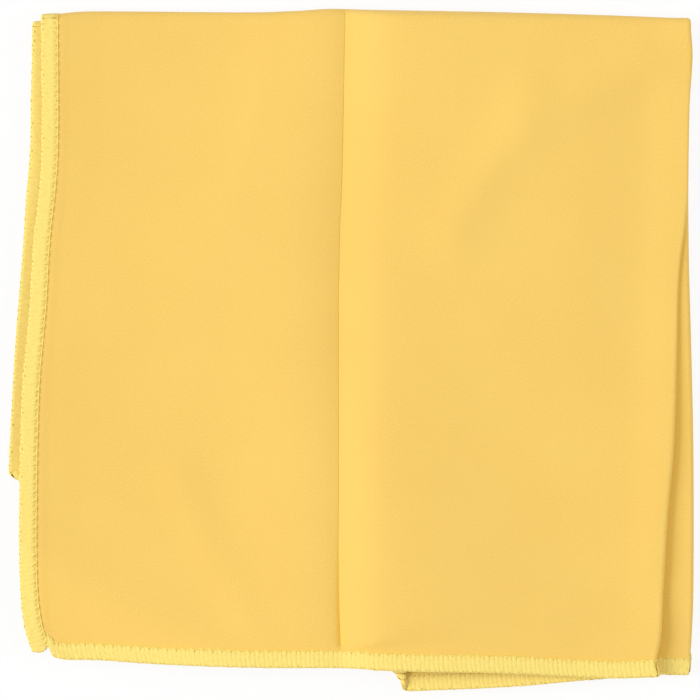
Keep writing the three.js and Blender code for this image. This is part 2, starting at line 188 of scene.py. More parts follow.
@dataclass
class FoldedCloth:
    """The middle surface of the cloth, and the sheet of fabric built on it.

    Lengths are in metres. What ends in ease or ramp is the length over which a form comes or goes, and
    what ends in share is a share of the folded side.
    """

    # Fabric, seam threads and the room between the layers
    folded_side: float = 175 * MM
    fabric_thickness: float = 0.8 * MM
    bound_thickness: float = 0.5 * MM
    thread_thickness: float = 0.35 * MM
    thread_clearance: float = 0.15 * MM
    looper_reach: float = 3.9 * MM
    needle_gap: float = 0.25 * MM
    needle_width: float = 0.45 * MM
    seam_ramp: float = 3.0 * MM
    seam_joint: float = 0.4 * MM
    layer_clearance: float = 0.4 * MM
    half_clearance: float = 0.8 * MM
    # The pressed crease of the seen panel
    crease_reach_left: float = 2.2 * MM
    crease_reach_right: float = 4.0 * MM
    crease_pinch: float = 0.5
    crease_pinch_ease: float = 45.0 * MM
    crease_sink: float = 0.6 * MM
    groove_depth: float = 0.45 * MM
    groove_reach: float = 0.5 * MM
    crease_ease: float = 1.5 * MM
    crease_flank: float = 32.0 * MM
    crease_share: float = 0.485
    # The seen panel's rise from its seams, and over the turned-in corner
    puff_ease: float = 18.0 * MM
    puff_at_hem: float = 0.55
    ear_margin: float = 9.0 * MM
    ear_ease: float = 55.0 * MM
    ear_drop_start: float = 14.0 * MM
    ear_drop_ease: float = 22.0 * MM
    # The lower half's panel that shows beside the side fold
    strip_rise: float = 1.0 * MM
    strip_start: float = 40.0 * MM
    strip_ease: float = 22.0 * MM
    # The roll of the turned-in corner, and the hook at its end
    ear_radius: float = 1.0 * MM
    ear_hook: float = 4.0 * MM
    ear_hook_reach: float = 8.0 * MM
    # The sections of the folds, and where the upper half's side fold is pressed thin
    side_squareness: float = 3.3
    pressed_radius: float = 0.45 * MM
    pressed_squareness: float = 2.0
    pressed_reach: float = 30.0 * MM
    pressed_sink: float = 0.3 * MM
    pressed_run: tuple[float, float] = (0.34, 0.6)
    top_squareness: float = 3.0
    # The hinge: the last grid line before it, and the height of the band in which the halves' motions meet
    last_line: float = 1.9
    hinge_band: float = 0.004 * MM
    # How many grid lines each stretch of the sheet has, and the share that those beside the crease take
    seam_lines: int = 5
    ramp_lines: int = 6
    crease_lines: int = 15
    crease_spread: float = 0.075
    left_lines: int = 30
    right_lines: int = 34
    back_lines: int = 62
    fold_lines: int = 15
    panel_lines: int = 74
    top_lines: int = 19
    ear_lines: int = 10
    edge_samples: int = 400
    # Outlines that both halves share, the line of the turned-in corner, and the seen panel's relief
    crease: Outline = Outline(
        (0, 0.1, 0.4, 0.56, 0.62, 0.68, 0.75, 1),
        (-0.0139, -0.017, -0.0177, -0.0178, -0.0168, -0.0156, -0.0124, -0.0077),
    )
    top: Outline = Outline(
        (0, 0.06, 0.1, 0.35, 0.42, 0.47, 0.53, 0.7, 0.8, 0.9, 1),
        (0.5159, 0.5205, 0.5228, 0.5213, 0.5236, 0.5267, 0.5251, 0.5221, 0.5197, 0.5167, 0.5128),
    )
    ear_side: tuple[float, float] = (-0.5278, -0.1839)
    ear_end: tuple[float, float] = (0.0894, -0.5275)
    cushions: Outline = Outline(
        (
            0, 0.03, 0.1, 0.2, 0.3, 0.36, 0.41, 0.44, 0.465, 0.485,
            0.505, 0.53, 0.55, 0.58, 0.62, 0.66, 0.8, 0.94, 1,
        ),
        (
            0.0008, 0.0018, -0.0020, -0.0048, -0.0056, -0.0024, 0.0008, 0.0015, 0.0010, 0.0006,
            0.0068, 0.0133, 0.0160, 0.0162, 0.0150, 0.0132, 0.0048, -0.0046, -0.0040,
        ),
    )
    drapes: tuple[Drape, ...] = (
        Drape((640, 62), (530, 130), 7 * MM, 0.9 * MM),
        Drape((530, 98), (452, 232), 6.5 * MM, 0.8 * MM),
        Drape((668, 60), (655, 560), 4.5 * MM, 0.25 * MM),
        Drape((180, 480), (260, 650), 5.5 * MM, 0.5 * MM),
        Drape((200, 260), (210, 430), 14 * MM, 0.3 * MM),
        Drape((560, 620), (640, 560), 9 * MM, 0.35 * MM),
    )
    shift: np.ndarray = field(default_factory=lambda: np.zeros(3))

    def __post_init__(self) -> None:
        """Works out the heights and the two halves from the sizes."""
        seam_thickness = self.bound_thickness + 2 * (self.thread_clearance + self.thread_thickness)
        bed_thickness = max(seam_thickness, self.fabric_thickness)
        self.layer_pitch = bed_thickness + self.layer_clearance
        self.hinge_height = self.layer_pitch + bed_thickness + self.half_clearance / 2
        self.seam_lift = (seam_thickness - self.fabric_thickness) / 2
        self.edge_wrap = self.thread_clearance + self.thread_thickness
        self.seam_width = self.looper_reach + self.needle_gap + self.needle_width
        self.fold_radius = self.layer_pitch / 2
        self.outer_radius = 2 * self.layer_pitch - self.fold_radius
        self.outer_radius += (self.half_clearance - self.layer_clearance) / 2
        self.ear_turn = math.pi * self.ear_radius
        self.ear_rise = 2 * self.ear_radius + self.fabric_thickness + self.layer_clearance
        self.ear_rise += self.crease_sink + self.groove_depth - self.layer_pitch
        upper_bed = self.hinge_height + self.half_clearance / 2
        self.upper = HalfShape(
            Outline(
                (0, 0.04, 0.1, 0.25, 0.42, 0.55, 0.65, 0.76, 0.85, 1),
                (-0.4906, -0.5026, -0.5083, -0.5088, -0.5046, -0.4938, -0.4884, -0.4776, -0.4753, -0.4761),
            ),
            Outline(
                (0, 0.35, 0.455, 0.53, 0.6, 0.675, 0.75, 0.82, 0.9, 1),
                (-0.547, -0.527, -0.5216, -0.517, -0.5115, -0.5051, -0.5, -0.4938, -0.4923, -0.49),
            ),
            Outline(
                (0, 0.02, 0.06, 0.14, 0.25, 0.35, 0.5, 0.6, 0.65, 0.7, 0.75, 0.81, 0.89, 0.96, 1),
                (
                    0.4768, 0.4735, 0.4799, 0.4841, 0.4907, 0.4995, 0.5046, 0.5068,
                    0.5108, 0.5175, 0.5218, 0.5228, 0.5245, 0.5287, 0.5262,
                ),
            ),
            Outline(
                (0, 0.012, 0.026, 0.036, 0.1, 0.2, 0.35, 0.5, 0.57, 0.75, 0.93, 1),
                (
                    -0.4676, -0.4676, -0.4599, -0.4753, -0.4784, -0.4846,
                    -0.4892, -0.49, -0.4938, -0.4977, -0.506, -0.5045,
                ),
            ),
            Outline(
                (0, 0.09, 0.16, 0.245, 0.38, 1),
                (-0.503, -0.5085, -0.5149, -0.5214, -0.527, -0.56),
            ),
            upper_bed + self.layer_pitch,
            upper_bed,
        )
        self.lower = HalfShape(
            Outline((0, 0.12, 0.5, 1), (-0.452, -0.466, -0.4738, -0.4761)),
            Outline((0, 0.12, 0.5, 0.85, 1), (-0.452, -0.464, -0.4753, -0.4846, -0.49)),
            Outline(
                (0, 0.04, 0.12, 0.35, 0.5, 0.65, 0.8, 1),
                (0.5254, 0.5277, 0.5308, 0.5308, 0.5277, 0.5238, 0.5231, 0.5262),
            ),
            Outline((0, 0.1, 1), (-0.462, -0.474, -0.4938)),
            Outline((0, 0.2, 0.9, 1), (-0.5024, -0.4985, -0.474, -0.462)),
            0.0,
            self.layer_pitch,
        )
        self.ear_from = np.array(self.ear_side) * self.folded_side
        self.ear_to = np.array(self.ear_end) * self.folded_side
        run = self.ear_to - self.ear_from
        self.ear_along = run / np.linalg.norm(run)
        self.ear_across = np.array((self.ear_along[1], -self.ear_along[0]))
        corner = np.array((self.upper.back_side.shares[0], self.upper.back_end.shares[-1]))
        corner = corner * self.folded_side
        past = float(self.past_ear(corner[0], corner[1]))
        self.ear_tip = corner - self.ear_across * (2 * past - self.ear_turn)

    def past_ear(self, x: np.ndarray, y: np.ndarray) -> np.ndarray:
        """Distance past the line along which the corner is turned in.

        The line is straight but for a hook at its end: u times e to the 1 - u, with u the distance from
        the end edge over the hook's reach.

        Args:
            x: places to the right, in metres.
            y: places towards the top fold, in metres.

        Returns:
            The distance at each place, negative on the side that stays.
        """
        straight = (x - self.ear_from[0]) * self.ear_across[0]
        straight += (y - self.ear_from[1]) * self.ear_across[1]
        to_end = (self.ear_to[0] - x) * self.ear_along[0] + (self.ear_to[1] - y) * self.ear_along[1]
        u = np.maximum(to_end, 0.0) / self.ear_hook_reach
        return straight + self.ear_hook * u * np.exp(1.0 - u)

    def front_lift(self, across: np.ndarray, along: np.ndarray, x: np.ndarray, y: np.ndarray) -> np.ndarray:
        """Rise of the seen panel over its flat bed.

        Its cushions and drapes rise from the seams, where only a share of what stands above the bed is
        left. The crease draws them down by e to the minus distance over its reach, and a narrow groove is
        added near the hems. Where the corner is turned in under the panel, the panel lies higher, and
        beyond the corner it sinks to the height of the panel below.

        Args:
            across: parameter across the panel.
            along: parameter along it.
            x: places to the right, in metres.
            y: places towards the top fold, in metres.

        Returns:
            The rise at each place, in metres.
        """
        away = (across - self.crease_share) * self.folded_side
        open_length = along * self.folded_side - self.seam_width
        reach = np.where(away < 0, self.crease_reach_left, self.crease_reach_right)
        reach = reach * mix(self.crease_pinch, 1.0, ease(open_length / self.crease_pinch_ease))
        pressed = np.exp(-np.abs(away) / reach)
        near_crease = np.exp(-((away / self.crease_flank) ** 2))
        from_end = ease(open_length / mix(self.puff_ease, self.crease_ease, near_crease))
        drape = sum(one.lift(x, y) for one in self.drapes)
        puff = (self.cushions.at(across, self.folded_side) + drape) * (1.0 - pressed)
        puff = mix(self.puff_at_hem * np.maximum(puff, 0.0), puff, from_end)
        near_end = 1.0 - ease(open_length / self.crease_pinch_ease)
        groove = np.exp(-((away / self.groove_reach) ** 2)) * near_end
        sink = self.crease_sink * pressed + self.groove_depth * groove
        puff = puff - sink * ease(open_length / self.crease_ease)
        past = self.past_ear(x, y)
        outside = past
        for start, end in ((self.ear_to, self.ear_tip), (self.ear_tip, self.ear_from)):
            run = (end - start) / np.linalg.norm(end - start)
            outside = np.maximum(outside, (x - start[0]) * run[1] - (y - start[1]) * run[0])
        raised = 1.0 - ease((outside - self.ear_margin) / self.ear_ease)
        dropped = ease((past - self.ear_drop_start) / self.ear_drop_ease)
        return puff + self.ear_rise * raised * (1.0 - dropped) - self.layer_pitch * dropped

    def strip_lift(self, x: np.ndarray, run: np.ndarray) -> np.ndarray:
        """Rise of the lower half's upper panel at its side fold, where nothing presses it.

        Args:
            x: places to the right, in metres.
            run: share of the way from the hemmed end to the top fold.

        Returns:
            The rise at each place, which eases to 0 at both ends of the fold.
        """
        from_end = ease((run * self.folded_side - self.seam_width) / self.strip_ease)
        from_top = ease((1.0 - run) * self.folded_side / self.strip_ease)
        return self.strip_rise * ease((x - self.strip_start) / self.strip_ease) * from_end * from_top

    def side_press(self, shape: HalfShape, run: np.ndarray) -> np.ndarray:
        """How far a half's side fold is pressed thin: the upper half's is, from its middle to its top.

        Args:
            shape: the half.
            run: share of the way from the hemmed end to the top fold.

        Returns:
            0 where it isn't pressed, to 1 where it is.
        """
        if shape is self.lower:
            return np.zeros_like(run)
        start, end = self.pressed_run
        from_top = ease((1.0 - run) * self.folded_side / self.strip_ease)
        return ease((run - start) / (end - start)) * from_top

    def seam_share(self, across: np.ndarray, run: np.ndarray) -> np.ndarray:
        """How far a place lies within the overlock seams.

        Args:
            across: parameter across the cloth, 0 to 3.
            run: share of the way from the hemmed end to the top fold.

        Returns:
            1 inside the seams, easing to 0 on the open fabric.
        """
        from_side = np.minimum(across, 3.0 - across) * self.folded_side
        from_end = run * self.folded_side
        edge = self.seam_width + self.thread_clearance
        beside = 1.0 - ease((from_side - edge) / self.seam_ramp)
        below = 1.0 - ease((from_end - edge) / self.seam_ramp)
        return 1.0 - (1.0 - beside) * (1.0 - below)

    @staticmethod
    def fold_turn(angle: np.ndarray, squareness: float) -> tuple[np.ndarray, np.ndarray]:
        """The section of a fold, from its upper face at an angle of 0, within a square of side 2.

        It is the curve on which the outward and upward parts, each to the power of the squareness, add
        to 1: a circle at a squareness of 2, and squarer above that.

        Args:
            angle: turn about the fold's middle, in radians.
            squareness: the power.

        Returns:
            The outward and the upward part.
        """
        out, up = np.sin(angle), np.cos(angle)
        size = (out**squareness + np.abs(up) ** squareness) ** (-1.0 / squareness)
        return out * size, up * size

    def _half_place(self, shape: HalfShape, across: np.ndarray, along: np.ndarray) -> np.ndarray:
        """Places on the middle surface of one half, before its corner is turned in.

        The front panel runs straight from its side outline to the crease and on to the side fold, the
        fold is a squarish half turn, and the back panel runs straight on. At the top each panel goes round
        a quarter turn whose middle is at the hinge's height.

        Args:
            shape: the half.
            across: parameter across the cloth, 0 to 3.
            along: parameter from the half's hemmed end, 0 to 2.

        Returns:
            An array of points with x, y and z last.
        """
        side = self.folded_side
        run = np.minimum(along, 1.0)
        press = self.side_press(shape, run)
        fold_radius = mix(self.fold_radius, self.pressed_radius, press)
        fold_x = shape.fold.at(run, side) - fold_radius - self.fabric_thickness / 2
        front_x = shape.front_side.at(run, side) + self.edge_wrap
        crease_x = self.crease.at(run, side)
        back_x = shape.back_side.at(run, side) + self.edge_wrap
        share = self.crease_share
        left = mix(front_x, crease_x, across / share)
        right = mix(crease_x, fold_x, (across - share) / (1.0 - share))
        squareness = mix(self.side_squareness, self.pressed_squareness, press)
        bulge, upright = self.fold_turn(math.pi * np.clip(across - 1.0, 0.0, 1.0), squareness)
        x = np.where(across < share, left, right)
        x = np.where(across < 1.0, x, fold_x + fold_radius * bulge)
        x = np.where(across < 2.0, x, mix(fold_x, back_x, across - 2.0))
        turned = (1.0 - upright) / 2.0
        end_y = mix(shape.front_end.at(across, side), shape.back_end.at(across - 2.0, side), turned)
        radius = self.outer_radius - self.layer_pitch * turned
        centre_y = self.top.at(x / side + 0.5, side) - self.outer_radius - self.fabric_thickness / 2
        out, up = self.fold_turn(math.pi / 2 * np.clip(along - 1.0, 0.0, 1.0), self.top_squareness)
        y = mix(end_y + self.edge_wrap, centre_y, run) + radius * out
        near_fold = ease(1.0 + (x - fold_x) / self.pressed_reach)
        thinner = 2.0 * (self.fold_radius - fold_radius) * (1.0 - turned) + self.pressed_sink * press
        height = mix(shape.front_bed, shape.back_bed, turned) + self.fabric_thickness / 2
        height = height - thinner * near_fold
        height = height + self.seam_lift * self.seam_share(across, along)
        if shape is self.upper:
            height = height + self.front_lift(across, along, x, y) * (1.0 - turned)
        else:
            height = height + self.strip_lift(x, run) * turned
        z = mix(self.hinge_height, height, up)
        return np.stack((x, y, z), axis=-1)

    def middle(self, across: np.ndarray, along: np.ndarray) -> np.ndarray:
        """Places on the middle surface of the whole cloth, before the corner is turned in.

        Args:
            across: parameter across the cloth, 0 to 3.
            along: parameter along the cloth, 0 to 4.

        Returns:
            An array of points with x, y and z last.
        """
        upper = self._half_place(self.upper, across, along)
        lower = self._half_place(self.lower, across, 4.0 - along)
        return np.where((along <= 2.0)[..., None], upper, lower)

    def outward(self, across: np.ndarray, along: np.ndarray) -> np.ndarray:
        """Unit normals of the middle surface: the cross product of its runs along both parameters.

        Args:
            across: parameter across the cloth, 0 to 3.
            along: parameter along the cloth, 0 to 4.

        Returns:
            An array of directions that point to the outer face.
        """
        step = 1e-4
        across_run = self.middle(across + step, along) - self.middle(across - step, along)
        along_run = self.middle(across, along + step) - self.middle(across, along - step)
        normal = np.cross(across_run, along_run)
        return normal / np.linalg.norm(normal, axis=-1, keepdims=True)

    def place(self, across: np.ndarray, along: np.ndarray, offset: np.ndarray) -> np.ndarray:
        """Places at an offset from the middle surface, with the turned-in corner rolled over.

        What lies past the corner's line by a distance goes round a half circle of the ear's radius, less
        its own height over the panel's bed, and what is left of the distance runs back over the panel.

        Args:
            across: parameter across the cloth, 0 to 3.
            along: parameter along the cloth, 0 to 4.
            offset: distance outwards from the middle surface, in metres.

        Returns:
            An array of points with x, y and z last.
        """
        across, along, offset = np.broadcast_arrays(across, along, offset)
        point = self.middle(across, along) + self.outward(across, along) * offset[..., None]
        past = self.past_ear(point[..., 0], point[..., 1])
        bed = self.upper.back_bed + self.fabric_thickness / 2
        height = point[..., 2] - bed
        angle = np.clip(past, 0.0, self.ear_turn) / self.ear_radius
        back = np.maximum(past - self.ear_turn, 0.0)
        move = (self.ear_radius - height) * np.sin(angle) - back - past
        rolled = point.copy()
        rolled[..., 0] += self.ear_across[0] * move
        rolled[..., 1] += self.ear_across[1] * move
        rolled[..., 2] = bed + self.ear_radius - (self.ear_radius - height) * np.cos(angle)
        is_ear = (past > 0.0) & (across > 2.0) & (along < 1.0)
        return np.where(is_ear[..., None], rolled, point) + self.shift

    def near_seam(self) -> np.ndarray:
        """Grid lines of a seam and of the ramp beside it, as shares of the folded side."""
        seam = self.seam_width / self.folded_side
        ramp = seam + (self.seam_ramp + self.thread_clearance) / self.folded_side
        on_seam = np.linspace(0, seam, self.seam_lines)
        return np.concatenate((on_seam, np.linspace(seam, ramp, self.ramp_lines)[1:]))

    def across_lines(self) -> np.ndarray:
        """Grid lines across, closer at the seams, the crease and the side fold.

        Returns:
            Values of the parameter across the cloth, in order.
        """
        near_seam = self.near_seam()
        ramp = near_seam[-1]
        crease = self.crease_share
        spread = np.linspace(0, 1, self.crease_lines) ** 2 * self.crease_spread
        front = np.concatenate((
            near_seam,
            np.linspace(ramp, crease - spread[-1], self.left_lines)[1:-1],
            crease - spread[::-1],
            crease + spread[1:],
            np.linspace(crease + spread[-1], 0.97, self.right_lines)[1:],
            (0.985,),
        ))
        back = np.linspace(0.02, 1.0 - ramp, self.back_lines)
        fold = np.linspace(1.0, 2.0, self.fold_lines)
        return np.concatenate((front, fold, 2.0 + back[:-1], 3.0 - near_seam[::-1]))

    def along_lines(self) -> np.ndarray:
        """Grid lines along, closer at the seams, with none near the hinge, so that the fold opens flat.

        Returns:
            Values of the parameter along the cloth, in order.
        """
        near_seam = self.near_seam()
        half = np.concatenate((
            near_seam,
            np.linspace(near_seam[-1], 1.0, self.panel_lines)[1:],
            np.linspace(1.0, self.last_line, self.top_lines)[1:],
        ))
        return np.concatenate((half, 4.0 - half[::-1]))

    def cut_sheet(self) -> tuple[np.ndarray, list[list[int]], list[tuple[int, int]]]:
        """The grid of both parameters, with its cells cut along the turn of the corner.

        Returns:
            The parameters of each vertex, the faces, and the directed border edges.
        """
        across, along = self.across_lines(), self.along_lines()
        columns, rows = len(across), len(along)
        flat = np.stack(np.meshgrid(across, along, indexing="ij"), axis=-1).reshape(-1, 2)
        first = (np.arange(columns - 1)[:, None] * rows + np.arange(rows - 1)).ravel()
        cells = np.stack((first, first + rows, first + rows + 1, first + 1), axis=-1)
        mesh = bpy.data.meshes.new("flat_cloth")
        mesh.from_pydata(np.pad(flat, ((0, 0), (0, 1))).tolist(), [], cells.tolist())
        sheet = bmesh.new()
        sheet.from_mesh(mesh)
        bpy.data.meshes.remove(mesh)
        side_run = np.linspace(0.0, 1.0 - CLEAR_OF_FOLD, self.edge_samples)
        end_run = np.linspace(2.0 + CLEAR_OF_FOLD, 3.0, self.edge_samples)
        side_places = self.middle(np.full(self.edge_samples, 3.0), side_run)
        end_places = self.middle(end_run, np.zeros(self.edge_samples))
        side_past = self.past_ear(side_places[:, 0], side_places[:, 1])
        end_past = self.past_ear(end_places[:, 0], end_places[:, 1])
        for level in np.linspace(0.0, self.ear_turn, self.ear_lines):
            on_side = np.interp(-level, -side_past, side_run)
            on_end = np.interp(level, end_past, end_run)
            near = [face for face in sheet.faces if self._near_ear(face)]
            geometry = near + list({edge for face in near for edge in face.edges})
            geometry += list({vertex for face in near for vertex in face.verts})
            normal = Vector((on_side, 3.0 - on_end, 0.0)).normalized()
            place = (3.0, on_side, 0.0)
            bmesh.ops.bisect_plane(sheet, geom=geometry, dist=1e-6, plane_co=place, plane_no=normal)
        sheet.verts.index_update()
        params = np.array([vertex.co[:2] for vertex in sheet.verts])
        faces = [[vertex.index for vertex in face.verts] for face in sheet.faces]
        border = [
            (loop.vert.index, loop.link_loop_next.vert.index)
            for edge in sheet.edges if edge.is_boundary for loop in edge.link_loops
        ]
        sheet.free()
        return params, faces, border

    @staticmethod
    def _near_ear(face: bmesh.types.BMFace) -> bool:
        """Whether a face lies on the upper back panel, clear of the folds."""
        middle = face.calc_center_median()
        return middle.x > 2.0 + CLEAR_OF_FOLD and middle.y < 1.0 - CLEAR_OF_FOLD

    def build_sheet(self, finish: "FabricFinish") -> bpy.types.Object:
        """The closed sheet of fabric: outer face, inner face and the rim between them.

        Args:
            finish: the fabric's finish.

        Returns:
            The sheet's object.
        """
        params, faces, border = self.cut_sheet()
        across, along = params[:, 0], params[:, 1]
        run = np.minimum(along, 4.0 - along)
        share = self.seam_share(across, run)
        half = mix(self.fabric_thickness, self.bound_thickness, share) / 2
        outer = self.place(across, along, half)
        inner = self.place(across, along, -half)
        count = len(params)
        all_faces = faces + [[count + i for i in reversed(face)] for face in faces]
        all_faces += [[end, start, count + start, count + end] for start, end in border]
        vertices = np.concatenate((outer, inner))
        flat = self.flat_place(across, along)
        sheet = make_piece("cloth_sheet", vertices, all_faces, np.concatenate((flat, flat)), finish.build())
        from_edge = np.minimum(np.minimum(across, 3.0 - across), run) * self.folded_side
        distances = sheet.data.attributes.new(EDGE_DISTANCE, "FLOAT", "POINT")
        distances.data.foreach_set("value", np.concatenate((from_edge, from_edge)))
        self.mark_creases(sheet.data, np.concatenate((along, along)))
        return sheet

    def flat_place(self, across: np.ndarray, along: np.ndarray) -> np.ndarray:
        """Places on the cloth spread flat, from the lengths of its panels and folds.

        Args:
            across: parameter across the cloth, 0 to 3.
            along: parameter along the cloth, 0 to 4.

        Returns:
            An array with the two lengths last, in metres.
        """
        half_turn = math.pi * self.fold_radius
        quarter = math.pi / 2 * (self.outer_radius - self.fold_radius)
        across_ends = np.cumsum((0.0, self.folded_side, half_turn, self.folded_side))
        along_ends = np.cumsum((0.0, self.folded_side, quarter, quarter, self.folded_side))
        flat_across = np.interp(across, np.arange(4), across_ends)
        return np.stack((flat_across, np.interp(along, np.arange(5), along_ends)), axis=-1)

    def mark_creases(self, mesh: bpy.types.Mesh, along: np.ndarray) -> None:
        """Makes the two grid lines beside the hinge sharp, where the opened fold has its corners.

        Args:
            mesh: the sheet's mesh.
            along: each vertex's parameter along the cloth.
        """
        ends = np.empty(2 * len(mesh.edges), dtype=np.int32)
        mesh.edges.foreach_get("vertices", ends)
        start, end = along[ends].reshape(-1, 2).T
        beside = np.abs(np.abs(start - 2.0) - (2.0 - self.last_line)) < 1e-6
        sharp = mesh.attributes.new("sharp_edge", "BOOLEAN", "EDGE")
        sharp.data.foreach_set("value", beside & (start == end))


@dataclass
class SeamThreads:
    """The threads of one overlocked edge, carried along it stitch by stitch.

    A looper's leg is a table of places within a stitch, 0.5 at its outer turn and 1 at its inner one,
    with the distance sideways in shares of the stitch and the distance outwards in shares of the reach.
    """

    cloth: FoldedCloth
    seam: Seam
    stitch: float = 2.46 * MM
    yarn_half_width: float = 0.88 * MM
    yarn_half_height: float = 0.14 * MM
    turn_narrowing: float = 0.45
    looper_clearance: float = 0.03 * MM
    inner_dip: float = 0.28 * MM
    leg_places: tuple[float, ...] = (0.5, 0.53, 0.57, 0.63, 0.9, 0.95, 1)
    leg_sideways: tuple[float, ...] = (0, 0.11, 0.175, 0.2, 0.3, 0.4, 0.5)
    leg_outwards: tuple[float, ...] = (1, 0.985, 0.94, 0.84, 0.09, 0.02, 0)
    wander: float = 0.035
    reach_wander: float = 0.02
    reach_limit: float = 1.04
    wrap_length: float = 0.75 * MM
    wrap_degrees: float = 78.0
    dip_reach: float = 0.9 * MM
    needle_radius: float = 0.16 * MM
    needle_sink: float = 0.55
    arch_power: float = 0.35
    looper_points: int = 26
    needle_points: int = 10
    station_points: int = 6000
    sides: int = 8
    seed: int = 7

    def ends(self) -> tuple[float, float]:
        """First and last place along the edge, as the parameter that runs along it.

        Returns:
            The whole edge at a side, and what the side seams leave of it at an end.
        """
        if self.seam in (Seam.FRONT_SIDE, Seam.BACK_SIDE):
            return 0.0, 4.0
        start = self.cloth.seam_width + self.cloth.thread_clearance + self.cloth.seam_joint
        return start / self.cloth.folded_side, 3.0 - start / self.cloth.folded_side

    def parameters(self, inward: np.ndarray, station: np.ndarray) -> tuple[np.ndarray, np.ndarray]:
        """The sheet's parameters at a distance in from the raw edge and a station along it.

        Args:
            inward: distance from the raw edge, in metres.
            station: the parameter that runs along the edge.

        Returns:
            The parameters across and along the cloth.
        """
        reach = inward / self.cloth.folded_side
        return {
            Seam.FRONT_SIDE: (reach, station),
            Seam.BACK_SIDE: (3.0 - reach, station),
            Seam.UPPER_END: (station, reach),
            Seam.LOWER_END: (station, 4.0 - reach),
        }[self.seam]

    def stations(self) -> tuple[np.ndarray, np.ndarray]:
        """Parameter along the edge against the real length along it, from the threads' first end.

        Returns:
            A fine table of parameters and the lengths at them, in metres.
        """
        start, end = self.ends()
        table = np.linspace(start, end, self.station_points)
        inward = np.full_like(table, self.cloth.looper_reach / 2)
        places = self.cloth.place(*self.parameters(inward, table), np.zeros_like(table))
        return table, run_lengths(places)

    def looper_path(self, face: bool) -> tuple[np.ndarray, ...]:
        """Path of a looper thread: out to the raw edge and back at every stitch.

        A stitch is two legs that draw together towards the edge, joined by a round turn. Past the edge
        the path goes round a quarter ellipse, to the middle of the fabric's thickness.

        Args:
            face: whether the thread lies on the outer face.

        Returns:
            Inward distance, length along the edge, offset, and the outward direction's two parts.
        """
        cloth = self.cloth
        _, lengths = self.stations()
        count = int(lengths[-1] / self.stitch)
        pitch = lengths[-1] / count
        phase = np.arange(count * self.looper_points + 1) / self.looper_points
        t = phase % 1.0
        late = np.where(t < 0.5, 1.0 - t, t)
        sideways = np.interp(late, self.leg_places, self.leg_sideways)
        outwards = np.interp(late, self.leg_places, self.leg_outwards)
        rng = np.random.default_rng(self.seed + (0 if face else 1))
        turns = np.arange(count + 2)
        wander = np.interp(phase, turns, rng.normal(0.0, self.wander, count + 2))
        reach_noise = np.interp(phase, turns - 0.5, rng.normal(0.0, self.reach_wander, count + 2))
        shift = 0.0 if face else 0.5
        length = (np.floor(phase) + 0.5 + np.where(t < 0.5, -sideways, sideways) + wander + shift) * pitch
        wrap_depth = cloth.thread_clearance + cloth.thread_thickness / 2
        offset_flat = cloth.bound_thickness / 2 + self.looper_clearance + self.yarn_half_height
        reach = np.clip(outwards * (1.0 + reach_noise), 0.0, self.reach_limit)
        travel = reach * (cloth.looper_reach + self.wrap_length)
        past_edge = (travel - cloth.looper_reach) / self.wrap_length
        angle = np.clip(past_edge, 0.0, self.reach_limit) * math.radians(self.wrap_degrees)
        inward = np.where(angle > 0.0, -wrap_depth * np.sin(angle), cloth.looper_reach - travel)
        offset = offset_flat * np.cos(angle) - self.inner_dip * (1.0 - ease(travel / self.dip_reach))
        sign = 1.0 if face else -1.0
        return inward, np.clip(length, 0.0, lengths[-1]), sign * offset, -np.sin(angle), sign * np.cos(angle)

    def needle_path(self) -> tuple[np.ndarray, ...]:
        """Path of the needle thread: a low arch over the face at every stitch, dipping in between.

        The arch is the size of a sine, half a wave to a stitch, to a low power, which squares it.

        Returns:
            Inward distance, length along the edge, offset, and the outward direction's two parts.
        """
        cloth = self.cloth
        _, lengths = self.stations()
        count = int(lengths[-1] / self.stitch)
        phase = np.arange(count * self.needle_points + 1) / self.needle_points
        arch = np.abs(np.sin(math.pi * phase)) ** self.arch_power
        inward = np.full_like(phase, cloth.looper_reach + cloth.needle_gap)
        flat = cloth.bound_thickness / 2 + self.looper_clearance
        offset = mix(self.needle_sink * flat, flat + self.needle_radius, arch)
        nothing = np.zeros_like(phase)
        return inward, phase * lengths[-1] / count, offset, nothing, nothing + 1.0

    def build(self, thread: Thread, finish: "ThreadFinish") -> bpy.types.Object:
        """One thread as a closed tube of oval section, flat against the fabric.

        Args:
            thread: which of the three threads.
            finish: the thread's finish.

        Returns:
            The thread's object.
        """
        if thread is Thread.NEEDLE:
            inward, length, offset, out_in, out_up = self.needle_path()
            half_height = self.needle_radius
            half_width = np.full_like(inward, self.needle_radius)
        else:
            inward, length, offset, out_in, out_up = self.looper_path(thread is Thread.FACE_LOOPER)
            half_height = self.yarn_half_height
            round_edge = ease(-inward / self.cloth.thread_thickness)
            half_width = self.yarn_half_width * (1.0 - self.turn_narrowing * round_edge)
        table, lengths = self.stations()
        station = np.interp(length, lengths, table)
        path = self.cloth.place(*self.parameters(inward, station), offset)
        step = 0.02 * MM
        beside = self.parameters(inward + step * out_in, station)
        lifted = self.cloth.place(*beside, offset + step * out_up)
        vertices, faces, uv = sweep(path, lifted - path, half_width, half_height, self.sides)
        return make_piece(f"{self.seam.value}_{thread.value}", vertices, faces, uv, finish.build())


def run_lengths(path: np.ndarray) -> np.ndarray:
    """Length along a run of points from its first point to each."""
    return np.concatenate(((0.0,), np.cumsum(np.linalg.norm(np.diff(path, axis=0), axis=1))))


